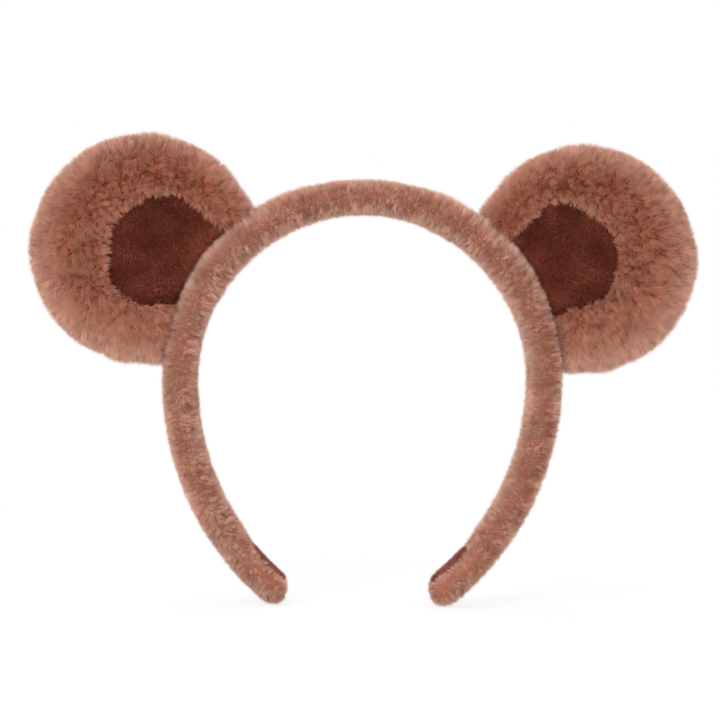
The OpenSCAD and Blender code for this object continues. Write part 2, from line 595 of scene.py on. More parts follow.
def edit(mesh: Mesh, change: Callable[[bmesh.types.BMesh], Any]) -> None:
    """Changes the points and faces of a mesh.

    Args:
        mesh: the mesh.
        change: what is done to its editable form.
    """
    work = bmesh.new()
    work.from_mesh(mesh)
    change(work)
    work.to_mesh(mesh)
    work.free()


def smooth_shaded(mesh: Mesh) -> None:
    """Shades a mesh smoothly."""
    mesh.polygons.foreach_set("use_smooth", [True] * len(mesh.polygons))


def loft(name: str, rows: list[Array], closed: bool) -> Mesh:
    """Makes a smooth mesh through rows of points.

    Args:
        name: the mesh's name.
        rows: the rows, with the same number of points in each.
        closed: whether the rows are rings of a closed tube, and not lanes of an open sheet.

    Returns:
        The mesh.
    """
    count, size = len(rows), len(rows[0])
    faces = []
    for start in range(0, (count - 1) * size, size):
        for this in range(size if closed else size - 1):
            then = (this + 1) % size
            faces.append((start + this, start + then, start + size + then, start + size + this))
    if closed:
        faces += [tuple(range(size)), tuple(range((count - 1) * size, count * size))]
    mesh = bpy.data.meshes.new(name)
    mesh.from_pydata(np.concatenate(rows).tolist(), [], faces)
    smooth_shaded(mesh)
    return mesh


def evaluated(piece: Object) -> Mesh:
    """Applies an object's modifiers.

    Args:
        piece: the object, which is left as it is.

    Returns:
        A plain mesh of the result.
    """
    bpy.context.view_layer.update()
    graph = bpy.context.evaluated_depsgraph_get()
    return bpy.data.meshes.new_from_object(piece.evaluated_get(graph), depsgraph=graph)


def bake_modifiers(piece: Object) -> None:
    """Replaces an object's mesh by its evaluated mesh, with no modifiers left.

    Args:
        piece: the object.
    """
    old = piece.data
    mesh = evaluated(piece)
    piece.modifiers.clear()
    piece.data = mesh
    mesh.name = piece.name
    bpy.data.meshes.remove(old)


def part_of(name: str, source: Mesh, keep: Array) -> Object:
    """Copies the kept faces of a mesh into a piece of their own.

    Args:
        name: the piece's name.
        source: the mesh to copy from.
        keep: true for each face that stays.

    Returns:
        The new piece.
    """

    def cut(work: bmesh.types.BMesh) -> None:
        """Deletes the other faces."""
        spare = [face for face in work.faces if not keep[face.index]]
        bmesh.ops.delete(work, geom=spare, context="FACES")

    mesh = source.copy()
    edit(mesh, cut)
    return new_piece(name, mesh)


def subdivide(piece: Object) -> None:
    """Halves a piece's faces and rounds them.

    Args:
        piece: the piece.
    """
    smoother = piece.modifiers.new("smooth", "SUBSURF")
    smoother.levels = smoother.render_levels = 1
    bake_modifiers(piece)


def thicken(piece: Object, thick: float) -> None:
    """Gives an open cloth a thickness, inwards.

    Args:
        piece: the cloth.
        thick: its thickness.
    """
    wall = piece.modifiers.new("thick", "SOLIDIFY")
    wall.thickness = thick
    wall.offset = -1.0
    bake_modifiers(piece)


def swell(piece: Object, pressure: float, spare: float, cap: float, held: Array) -> None:
    """Swells a closed cloth by air pressure and keeps the result.

    Args:
        piece: the cloth.
        pressure: the air's pressure.
        spare: how much longer the cloth is cut than it is drawn, as a share.
        cap: how far a point may move.
        held: from 0 to 1, how firmly each point stays where it is.
    """
    scene = bpy.context.scene
    start = points_of(piece.data)
    group = piece.vertex_groups.new(name="held")
    for index in np.flatnonzero(held > 0):
        group.add([int(index)], float(held[index]), "REPLACE")
    cloth = piece.modifiers.new("swell", "CLOTH")
    cloth.settings.quality = SWELL_QUALITY
    cloth.settings.use_pressure = True
    cloth.settings.uniform_pressure_force = pressure
    cloth.settings.effector_weights.gravity = 0.0
    cloth.settings.shrink_min = -spare
    cloth.settings.vertex_group_mass = group.name
    cloth.point_cache.frame_start = 1
    cloth.point_cache.frame_end = SWELL_STEPS
    for step in range(SWELL_STEPS):
        scene.frame_set(step + 1)
    graph = bpy.context.evaluated_depsgraph_get()
    swelled = piece.evaluated_get(graph)
    move = points_of(swelled.to_mesh()) - start
    swelled.to_mesh_clear()
    piece.modifiers.clear()
    piece.vertex_groups.clear()
    scene.frame_set(1)
    far = np.linalg.norm(move, axis=1, keepdims=True)
    move *= np.minimum(1, cap / np.maximum(far, LEAST))
    move_points(piece.data, start + move)
    LOG.info("%s swelled by up to %.1f mm", piece.name, np.minimum(far, cap).max() / MM)


class PileTree:
    """Geometry Nodes that grow a pile of bent, tapered strands from a cloth.

    The cloth's points carry comb, the way the pile leans, pile, its length as a share, and
    thick, its density as a share. They may carry pale, how far the pile is paler, in places as
    painted sheen.
    """

    NUMBERS = (
        "Density", "Length", "Spread", "Width", "Jitter",
        "Tuft Size", "Tuft Pull", "Tuft Swing", "Swirl Size", "Swirl",
    )
    COUNTS = ("Seed", "Steps")
    SPARES = ("comb", "pile", "thick", "across", "strand")
    BEND = 1.8
    TAPER = 2.2
    MERGE = 0.0005
    CELL_ACROSS = (0.7, 0.15)
    CELL_ALONG = (0.8, 0.1)

    def __init__(self) -> None:
        """Builds the tree once, for every pile."""
        self.tree = bpy.data.node_groups.new("pile", "GeometryNodeTree")
        self.sheet = NodeSheet(self.tree)
        self.ids: dict[str, str] = {}
        self._sockets()
        self._build()

    def _sockets(self) -> None:
        """Names the tree's inputs and its output."""
        face = self.tree.interface
        face.new_socket("Geometry", in_out="OUTPUT", socket_type="NodeSocketGeometry")
        face.new_socket("Geometry", in_out="INPUT", socket_type="NodeSocketGeometry")
        kinds = {name: "NodeSocketFloat" for name in self.NUMBERS}
        kinds |= {name: "NodeSocketInt" for name in self.COUNTS}
        kinds["Material"] = "NodeSocketMaterial"
        for name, kind in kinds.items():
            socket = face.new_socket(name, in_out="INPUT", socket_type=kind)
            self.ids[name] = socket.identifier

    def _carried(self, name: str, kind: str = "FLOAT") -> Wire:
        """A named attribute, as a field."""
        settings = {"data_type": kind}
        return self.sheet.add("GeometryNodeInputNamedAttribute", settings, {"Name": name}, "Attribute")

    def _keep(
        self, geometry: Wire, name: str, value: Wire, kind: str = "FLOAT", on: str = "POINT"
    ) -> Wire:
        """Stores a field on a geometry under a name.

        Args:
            geometry: what carries the field.
            name: the attribute's name.
            value: the field.
            kind: its data type.
            on: the domain.

        Returns:
            The geometry with the attribute.
        """
        return self.sheet.add(
            "GeometryNodeStoreNamedAttribute",
            {"data_type": kind, "domain": on},
            {"Geometry": geometry, "Name": name, "Value": value},
            "Geometry",
        )

    def _strand(self, steps: Wire) -> Wire:
        """Makes one strand of unit height and reach.

        Args:
            steps: how many faces it has along its length.

        Returns:
            The strand, bent over from +Z to +X and tapered to its tip.
        """
        sheet = self.sheet
        size = {"Size X": 1.0, "Size Y": 1.0, "Vertices X": steps + 1, "Vertices Y": 2}
        grid = sheet.add("GeometryNodeMeshGrid", {}, size, "Mesh")
        place = sheet.add("GeometryNodeInputPosition")
        split = sheet.add("ShaderNodeSeparateXYZ", {}, {0: place}, "X")
        grid = self._keep(grid, "along", split + 0.5)
        grid = self._keep(grid, "across", split.out("Y") + 0.5)
        along, across = self._carried("along"), self._carried("across")
        side = (across - 0.5) * (1 - along**self.TAPER)
        bent = sheet.add("ShaderNodeCombineXYZ", {}, {"X": along**self.BEND, "Y": side, "Z": along})
        grid = sheet.add("GeometryNodeSetPosition", {}, {"Geometry": grid, "Position": bent})
        inputs = {"Geometry": grid, "Distance": self.MERGE}
        return sheet.add("GeometryNodeMergeByDistance", {}, inputs)

    def _lean(self, given: dict[str, Wire], length: Wire, normal: Wire, cells: Wire) -> Wire:
        """Works out how strands lean.

        Args:
            given: the tree's inputs.
            length: the strands' length.
            normal: the cloth's normal.
            cells: the middle of each strand's tuft.

        Returns:
            The lean along the cloth: its comb, and what tufts, swirls and chance add.
        """
        sheet = self.sheet
        place = sheet.add("GeometryNodeInputPosition")
        chance = sheet.add(
            "FunctionNodeRandomValue",
            {"data_type": "FLOAT_VECTOR"},
            {"Min": (-1.0, -1.0, -1.0), "Max": (1.0, 1.0, 1.0), "Seed": given["Seed"] + 1},
            "Value",
        )
        clouds = {"Vector": place, "Scale": 1 / given["Swirl Size"], "Detail": 1.0}
        swirl = sheet.add("ShaderNodeTexNoise", {}, clouds, "Color")
        middle = (0.5, 0.5, 0.5)
        lean = self._carried("comb", "FLOAT_VECTOR")
        for push, size in (
            (sheet.vector("SUBTRACT", cells, place), given["Tuft Pull"] / length),
            (chance, given["Jitter"]),
            (sheet.vector("SUBTRACT", cells.out("Color"), middle), given["Tuft Swing"]),
            (sheet.vector("SUBTRACT", swirl, middle), given["Swirl"]),
        ):
            lean = sheet.vector("ADD", lean, sheet.scaled(push, size))
        upright = sheet.vector("DOT_PRODUCT", lean, normal).out("Value")
        return sheet.vector("SUBTRACT", lean, sheet.scaled(normal, upright))

    def _build(self) -> None:
        """Fills the tree, from the cloth to the finished pile."""
        sheet = self.sheet
        group = sheet.add("NodeGroupInput", {}, {}, "Geometry")
        given = {name: group.out(name) for name in (*self.NUMBERS, *self.COUNTS, "Material")}
        density = given["Density"] * self._carried("thick")
        points = sheet.add(
            "GeometryNodeDistributePointsOnFaces",
            {"distribute_method": "RANDOM"},
            {"Mesh": group, "Density": density, "Seed": given["Seed"]},
            "Points",
        )
        normal = points.out("Normal")
        place = sheet.add("GeometryNodeInputPosition")
        tufts = {"Vector": place, "Scale": 1 / given["Tuft Size"]}
        cells = sheet.add("ShaderNodeTexVoronoi", {}, tufts, "Position")
        tuft = sheet.add("FunctionNodeSeparateColor", {}, {0: cells.out("Color")}, "Red")
        draw = {"Seed": given["Seed"] + 2}
        tint = sheet.add("FunctionNodeRandomValue", {"data_type": "FLOAT"}, draw, "Value")
        spread = 1 + given["Spread"] * (tint + tuft - 1)
        length = given["Length"] * self._carried("pile") * spread
        lean = self._lean(given, length, normal, cells)
        slant = sheet.vector("LENGTH", lean).out("Value")
        rise = length / (1 + slant * slant) ** 0.5
        turn = sheet.add("FunctionNodeAlignRotationToVector", {"axis": "Z"}, {"Vector": normal})
        turn = sheet.add(
            "FunctionNodeAlignRotationToVector",
            {"axis": "X", "pivot_axis": "Z"},
            {"Rotation": turn, "Vector": lean},
        )
        sides = {"X": rise * slant, "Y": given["Width"], "Z": rise}
        size = sheet.add("ShaderNodeCombineXYZ", {}, sides)
        roots = self._keep(points, "tint", tint)
        roots = self._keep(roots, "tuft", tuft)
        roots = self._keep(roots, "strand", sheet.add("GeometryNodeInputIndex"), "INT")
        strand = self._strand(given["Steps"])
        strands = sheet.add(
            "GeometryNodeInstanceOnPoints",
            {},
            {"Points": roots, "Instance": strand, "Rotation": turn, "Scale": size},
            "Instances",
        )
        pile = sheet.add("GeometryNodeRealizeInstances", {}, {"Geometry": strands})
        pile = self._keep(pile, "OFBake", self._cell(points), "FLOAT2", "CORNER")
        pile = sheet.add("GeometryNodeSetShadeSmooth", {}, {"Geometry": pile})
        dressed = {"Geometry": pile, "Material": given["Material"]}
        pile = sheet.add("GeometryNodeSetMaterial", {}, dressed)
        self.tree.links.new(pile.socket, self.tree.nodes.new("NodeGroupOutput").inputs[0])

    def _cell(self, points: Wire) -> Wire:
        """Gives each strand a small cell of the texture square.

        Args:
            points: the strands' roots.

        Returns:
            The place in the square, with a strand's length upwards in its cell.
        """
        sheet = self.sheet
        cloud = {"component": "POINTCLOUD"}
        inputs = {"Geometry": points}
        count = sheet.add("GeometryNodeAttributeDomainSize", cloud, inputs, "Point Count")
        rows = count.math("CEIL", count**0.5)
        strand = self._carried("strand", "INT")
        column = strand.math("MODULO", strand, rows)
        row = strand.math("FLOOR", strand / rows)
        across = self._carried("across") * self.CELL_ACROSS[0] + self.CELL_ACROSS[1]
        along = self._carried("along") * self.CELL_ALONG[0] + self.CELL_ALONG[1]
        place = {"X": (column + across) / rows, "Y": (row + along) / rows}
        return sheet.add("ShaderNodeCombineXYZ", {}, place)

    def grow(self, name: str, cloth: Object, values: dict[str, Any]) -> Object:
        """Grows a pile from a cloth, as a piece of its own.

        Args:
            name: the new piece's name.
            cloth: the cloth with its attributes.
            values: the tree's inputs, by name.

        Returns:
            The pile as a plain mesh.
        """
        modifier = cloth.modifiers.new("pile", "NODES")
        modifier.node_group = self.tree
        for key, value in values.items():
            modifier[self.ids[key]] = value
        mesh = evaluated(cloth)
        cloth.modifiers.remove(modifier)
        for spare in self.SPARES:
            layer = mesh.attributes.get(spare)
            if layer:
                mesh.attributes.remove(layer)
        return new_piece(name, mesh)


@dataclass(frozen=True)
class Pile:
    """How a pile grows: strands a square millimetre, lengths and how they lie."""

    finish: PileFinish
    density: float
    length: float
    width: float
    spread: float = 0.35
    jitter: float = 0.15
    tuft_size: float = 1.6 * MM
    tuft_pull: float = 0.8
    tuft_swing: float = 0.6
    swirl_size: float = 12 * MM
    swirl: float = 0.8
    steps: int = 2

    def inputs(self, seed: int, material: Material) -> dict[str, Any]:
        """Args:
            seed: what the strands' places are drawn from.
            material: the strands' material.

        Returns:
            The inputs by name.
        """
        thin = 1.0
        names = (*PileTree.NUMBERS, "Steps")
        values = {name: getattr(self, name.lower().replace(" ", "_")) for name in names}
        values["Density"] = self.density * thin / MM**2
        values["Width"] = self.width / thin**0.5
        return values | {"Seed": seed, "Material": material}


class Wardrobe:
    """The materials and the node tree that the sub-assemblies share."""

    def __init__(self) -> None:
        """Makes the pile tree and an empty set of materials."""
        self.tree = PileTree()
        self.materials: dict[str, Material] = {}

    def material(self, finish: PileFinish | GrainFinish) -> Material:
        """A finish's material, made once.

        Args:
            finish: the finish.

        Returns:
            Its material.
        """
        if finish.name not in self.materials:
            self.materials[finish.name] = finish.material()
        return self.materials[finish.name]

    def dress(self, piece: Object, finish: PileFinish | GrainFinish) -> Object:
        """Gives a piece one finish all over.

        Args:
            piece: the piece.
            finish: its finish.

        Returns:
            The piece.
        """
        piece.data.materials.clear()
        piece.data.materials.append(self.material(finish))
        return piece

    def dress_node(self, node: str, finish: GrainFinish) -> Object:
        """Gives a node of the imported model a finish."""
        return self.dress(frame["nodes"][node], finish)

    def grow(self, name: str, cloth: Object, pile: Pile, seed: int) -> Object:
        """Grows a pile on a cloth."""
        return self.tree.grow(name, cloth, pile.inputs(seed, self.material(pile.finish)))


@dataclass
class Band:
    """The padded band: its line, its sleeve with pile, its padding and its trim.

    A span is where a change along or across the band starts and ends. Leans, lengths, densities
    and paleness of the pile are shares.
    """

    wardrobe: Wardrobe
    head_r: float = 60 * MM
    arm_r: float = 92 * MM
    arm_angle: float = math.radians(50)
    thick: float = 12 * MM
    width: float = 22 * MM
    squareness: float = 2.8
    ring_points: int = 40
    rings: int = 190
    tip_rings: int = 6
    tip_least: float = 0.08
    tip_narrowing: float = 0.5
    backing_depth: float = 1.9 * MM
    foam_depth: float = 3.0 * MM
    pressure: float = 12.0
    swell_cap: float = 0.8 * MM
    seam_half: float = 1.0 * MM
    sleeve_fill: float = 0.7
    foam_fill: float = 0.8
    lean_out: float = 0.35
    lean_wide: float = 0.3
    lean_left: float = 0.15
    flank_start: Span = (12 * MM, 30 * MM)
    flank_end: Span = (60 * MM, 85 * MM)
    flank_inside: float = 0.4
    flank_length: float = 0.35
    flank_pale: float = 0.3
    edge: Span = (0.25, 1.0)
    edge_pale: float = 0.8
    back_from: float = 4 * MM
    back_density: float = 0.65
    patch_length: float = 17 * MM
    patch_end: float = 1.5 * MM
    patch_width: float = 11 * MM
    patch_depth: float = 0.9 * MM
    patch_thick: float = 1.7 * MM
    patch_rows: int = 22
    patch_lanes: int = 15
    patch_round: float = 4.0
    patch_tip: float = 0.35
    patch_flat: float = 5.2 * MM
    patch_bow_r: float = 3 * MM
    patch_bare: float = 0.6
    patch_overlap: float = 0.5 * MM
    short_before: float = 8 * MM
    short_after: float = 4 * MM
    short_by: float = 0.4
    pile: Pile = Pile(
        BAND_PLUSH, 17.0, 2.6 * MM, 0.12 * MM, jitter=0.25, tuft_size=1.5 * MM, tuft_pull=0.45,
        tuft_swing=0.4,
    )
    fuzz: Pile = Pile(FELT_FUZZ, 12.0, 1.1 * MM, 0.09 * MM, jitter=1.0, tuft_pull=0.2)

    @property
    def crown_line(self) -> float:
        """Radius of the band's middle line round the crown."""
        return self.head_r + self.thick / 2

    @property
    def arm_line(self) -> float:
        """Radius of the band's middle line along an arm."""
        return self.arm_r + self.thick / 2

    @property
    def half_crown(self) -> float:
        """Length of the middle line from the top to the end of the crown."""
        return self.crown_line * math.pi / 2

    @property
    def half_length(self) -> float:
        """Length of the middle line from the top to the middle of a tip."""
        return self.half_crown + self.arm_line * self.arm_angle

    @property
    def patch_start(self) -> float:
        """Length of the middle line from the top to a felt patch."""
        return self.half_length - self.patch_length

    def line(self, along: Array) -> tuple[Array, Array]:
        """The band's middle line.

        Args:
            along: lengths from the top of the crown, negative to the left.

        Returns:
            The points, and the directions away from the head.
        """
        side, run = np.sign(along), np.abs(along)
        crown = run / self.crown_line
        arm = np.minimum((run - self.half_crown) / self.arm_line, self.arm_angle)
        over = np.maximum(run - self.half_length, 0)
        on_crown = run <= self.half_crown
        out_x = np.where(on_crown, np.sin(crown), np.cos(arm))
        out_z = np.where(on_crown, np.cos(crown), -np.sin(arm))
        arm_x = self.head_r - self.arm_r + self.arm_line * out_x
        x = np.where(on_crown, self.crown_line * out_x, arm_x)
        z = np.where(on_crown, self.crown_line, self.arm_line) * out_z
        x, z = x + over * out_z, z - over * out_x
        zero = np.zeros_like(x)
        return np.stack([side * x, zero, z], 1), np.stack([side * out_x, zero, out_z], 1)

    def locate(self, points: Array) -> tuple[Array, Array, Array]:
        """Where points lie along and across the band.

        Args:
            points: points on or near the band.

        Returns:
            Lengths along the middle line, distances outwards from it, and outward directions.
        """
        side = np.where(points[:, 0] < 0, -1.0, 1.0)
        x, z = np.abs(points[:, 0]), points[:, 2]
        below = np.arctan2(-z, x + self.arm_r - self.head_r)
        crown = self.crown_line * np.arctan2(x, z)
        arm = self.half_crown + self.arm_line * np.maximum(below, 0)
        along = side * np.where(z >= 0, crown, np.minimum(arm, self.half_length))
        middle, out = self.line(np.where(along == 0, LEAST, along))
        past_tip = ((points - middle) * self.rightwards(out)).sum(1)
        return along + past_tip, ((points - middle) * out).sum(1), out

    @staticmethod
    def rightwards(out: Array) -> Array:
        """Directions along the band to the right, from those away from the head."""
        return np.stack([out[:, 2], out[:, 1], -out[:, 0]], 1)

    def tube(self, name: str, depth: float) -> Object:
        """A closed tube along the band with round tips.

        Args:
            name: the piece's name.
            depth: how far the tube lies below the band's surface.

        Returns:
            The tube as a piece.
        """
        half_t, half_w = self.thick / 2 - depth, self.width / 2 - depth
        turn = np.linspace(0, 2 * math.pi, self.ring_points, endpoint=False)
        power = 2 / self.squareness
        across = half_t * np.sign(np.cos(turn)) * np.abs(np.cos(turn)) ** power
        deep = half_w * np.sign(np.sin(turn)) * np.abs(np.sin(turn)) ** power
        tip = np.linspace(0, math.pi / 2, self.tip_rings + 1)[1:]
        past = half_t * np.sin(tip)
        straight = np.linspace(-self.half_length, self.half_length, self.rings)
        along = np.concatenate([-self.half_length - past[::-1], straight, self.half_length + past])
        shrink = np.concatenate([np.cos(tip)[::-1], np.ones(len(straight)), np.cos(tip)])
        rows = []
        for centre, away, share in zip(*self.line(along), np.maximum(shrink, self.tip_least)):
            row = centre + np.outer(across * share, away)
            row[:, 1] += deep * (1 - self.tip_narrowing * (1 - share))
            rows.append(row)
        mesh = loft(name, rows, True)
        edit(mesh, lambda work: bmesh.ops.recalc_face_normals(work, faces=work.faces))
        return new_piece(name, mesh)

    def sleeve(self) -> Object:
        """Makes the sleeve's backing.

        Returns:
            The backing, swelled over the foam and held along its seam.
        """
        sleeve = self.tube("band_sleeve", self.backing_depth)
        points = points_of(sleeve.data)
        seam = (self.locate(points)[1] < 0) & (np.abs(points[:, 1]) < self.seam_half)
        swell(sleeve, self.pressure, 0.0, self.swell_cap, seam.astype(float))
        subdivide(sleeve)
        return sleeve

    def comb_sleeve(self, sleeve: Object) -> tuple[Array, Array]:
        """Writes how the pile lies on the sleeve: longer on the flanks, and short by the patches.

        Args:
            sleeve: the sleeve's backing.

        Returns:
            Each point's length along the band, and the pile's density there as a share.
        """
        points = points_of(sleeve.data)
        along, out_by, out = self.locate(points)
        run, inside, start = np.abs(along), out_by < 0, self.patch_start
        across = out_by / (self.thick / 2)
        comb = out * (self.lean_out * np.clip(across, -1, 1))[:, None]
        comb[:, 1] += self.lean_wide * np.clip(points[:, 1] / (self.width / 2), -1, 1)
        comb -= self.lean_left * self.rightwards(out)
        short = inside * smooth_step(run, start - self.short_before, start + self.short_after)
        flank = smooth_step(run, *self.flank_start) * (1 - smooth_step(run, *self.flank_end))
        flank *= np.where(inside, self.flank_inside, 1.0)
        edge = smooth_step(np.abs(across), *self.edge)
        # pale paints a highlight along the band's outer and inner edges, and makes the flanks paler.
        lay(
            sleeve,
            comb,
            pile=1 + self.flank_length * flank - self.short_by * short,
            pale=self.edge_pale * edge + self.flank_pale * flank * (1 - edge),
        )
        covered = inside & (np.abs(points[:, 1]) < self.patch_width / 2 - self.patch_overlap)
        covered &= (run > start) & (run < self.half_length + self.patch_end)
        thick = np.where(points[:, 1] > self.back_from, self.back_density, 1.0)
        return along, np.where(covered, 0.0, thick)

    def grow_pile(self, sleeve: Object) -> list[Object]:
        """Grows the sleeve's pile in stretches.

        Args:
            sleeve: the sleeve's backing.

        Returns:
            The stretches, from the left tip to the right one.
        """
        along, thick = self.comb_sleeve(sleeve)
        names = ("left_arm", "left_crown", "right_crown", "right_arm")
        edges = np.linspace(-1, 1, len(names) + 1) * self.half_length
        edges[0], edges[-1] = -1.0, 1.0
        piles = []
        for index, name in enumerate(names):
            inside = (along >= edges[index]) & (along < edges[index + 1])
            store(sleeve.data, "thick", inside * thick)
            seed = BAND_SEED + index
            piles.append(self.wardrobe.grow(f"band_pile_{name}", sleeve, self.pile, seed))
        return piles

    def patch(self, side: Side) -> Object:
        """Makes the felt patch on the inner face of a tip, dark to paint the shadow in the slit beside
        it.

        Args:
            side: the tip's side.

        Returns:
            The patch, wrapped a little round its edges.
        """
        last = self.patch_rows - 1
        reach = np.linspace(self.patch_start, self.half_length + self.patch_end, self.patch_rows)
        lane = np.linspace(-1, 1, self.patch_lanes)
        rows = []
        for index, (centre, away) in enumerate(zip(*self.line(side.value * reach))):
            end = min(min(index, last - index) / last * self.patch_round, 1.0)
            wide = min(1.0, self.patch_tip + (1 - self.patch_tip) * math.sqrt(end))
            deep = self.patch_width / 2 * wide * lane
            bow = np.maximum(np.abs(deep) - self.patch_flat, 0) ** 2 / (2 * self.patch_bow_r)
            row = centre + np.outer(self.patch_depth - self.thick / 2 + bow, away)
            row[:, 1] += deep
            rows.append(row)
        mesh = loft("patch", rows, False)
        if side is Side.LEFT:
            mesh.flip_normals()
        patch = new_piece(f"{side.word}_tip_felt", mesh)
        thicken(patch, self.patch_thick)
        subdivide(patch)
        return self.wardrobe.dress(patch, FELT_AND_SLIT_SHADOW)

    def grow_fuzz(self, patch: Object, side: Side) -> Object:
        """Grows the loose fibres of a felt patch.

        Args:
            patch: the patch.
            side: the tip's side.

        Returns:
            The fibres, on the bare face and the edges.
        """
        points = points_of(patch.data)
        bare = self.patch_depth + self.patch_bare * self.patch_thick - self.thick / 2
        lay(patch, np.zeros_like(points), thick=self.locate(points)[1] < bare)
        return self.wardrobe.grow(f"{side.word}_tip_fuzz", patch, self.fuzz, FUZZ_SEEDS[side])

    def build(self) -> list[Object]:
        """Builds and dresses every piece of the band.

        Returns:
            The pieces, with the nodes of the model that are dressed.
        """
        dress, dress_node = self.wardrobe.dress, self.wardrobe.dress_node
        sleeve = self.sleeve()
        pieces = [settle(pile, "band", "band_plush") for pile in self.grow_pile(sleeve)]
        dress(sleeve, BAND_BACKING)
        pieces.append(settle(sleeve, "band", "band_plush", "band_cover", fill=self.sleeve_fill))
        foam = dress(self.tube("band_foam", self.foam_depth), PAD_FOAM)
        pieces.append(settle(foam, "band", "foam", "band_padding", fill=self.foam_fill))
        for side in Side:
            patch = self.patch(side)
            pieces.append(settle(self.grow_fuzz(patch, side), "band", "felt"))
            pieces.append(settle(patch, "band", "felt", f"{side.word}_tip_patch"))
        pieces.append(dress_node("band_core", HOOP_PLASTIC))
        threads = ("band_seam_thread", *(f"{side.word}_ear_base_stitches" for side in Side))
        return pieces + [dress_node(node, PLUSH_THREAD) for node in threads]


@dataclass(frozen=True)
class PanelEdge:
    """Edge of a dark panel: a circle with waves, each of a count, a size in mm and a start."""

    radius: float
    waves: tuple[tuple[int, float, float], ...]

    def reach(self, angle: Array) -> Array:
        """How far the edge lies from the panel's middle, by direction."""
        wobble = sum(size * np.sin(count * angle + start) for count, size, start in self.waves)
        return self.radius + wobble * MM


PANEL_EDGES = {
    Side.LEFT: PanelEdge(
        20.9 * MM, ((1, 0.6, 2.8), (2, 0.7, 2.8), (3, 0.8, -0.9), (5, 0.5, 2.0))
    ),
    Side.RIGHT: PanelEdge(
        21.0 * MM, ((1, 2.5, -1.4), (2, 1.6, 1.3), (3, 1.4, -2.0), (5, 0.5, 2.0))
    ),
}


